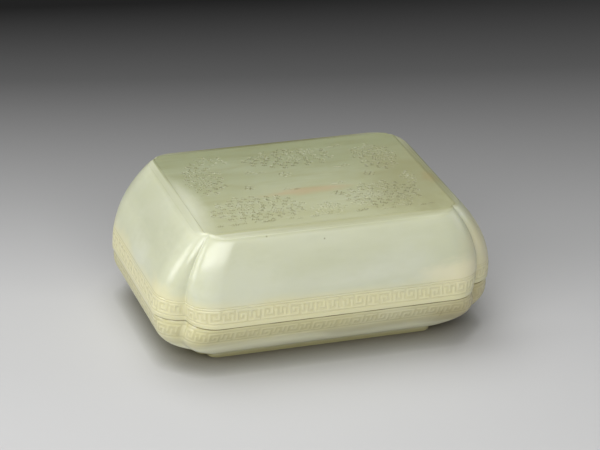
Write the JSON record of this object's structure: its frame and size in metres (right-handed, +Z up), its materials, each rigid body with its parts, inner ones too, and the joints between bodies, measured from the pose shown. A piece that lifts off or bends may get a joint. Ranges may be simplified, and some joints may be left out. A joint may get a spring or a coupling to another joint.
{
  "type": "ink stick and stone box",
  "caption": "Covered stone box with indented, lobed corners and fret bands, on a low foot ring, holding an ink stone and an ink stick.",
  "frame": {"origin": "middle of the box's plan, on the surface that its foot ring stands on", "axes": "+X along the box's length, +Y towards its back, +Z up"},
  "size_m": [0.14, 0.099, 0.0574],
  "materials": {
    "nephrite_box": "soft polish",
    "nephrite_cover": "soft polish",
    "slate": "honed",
    "ink": "satin"
  },
  "bodies": {
    "box": {"box": "nephrite_box"},
    "cover": {"cover": "nephrite_cover"},
    "ink_stone": {"ink_stone": "slate"},
    "ink_stick": {"ink_stick": "ink"}
  },
  "joints": [
    {"name": "cover_lift", "type": "slide", "parent": "box", "child": "cover", "axis": [0, 0, 1], "range_m": [0, 0.06]},
    {"name": "ink_stone_lift", "type": "slide", "parent": "box", "child": "ink_stone", "axis": [0, 0, 1], "range_m": [0, 0.02]},
    {"name": "ink_stick_lift", "type": "slide", "parent": "box", "child": "ink_stick", "axis": [0, 0, 1], "range_m": [0, 0.02]}
  ]
}
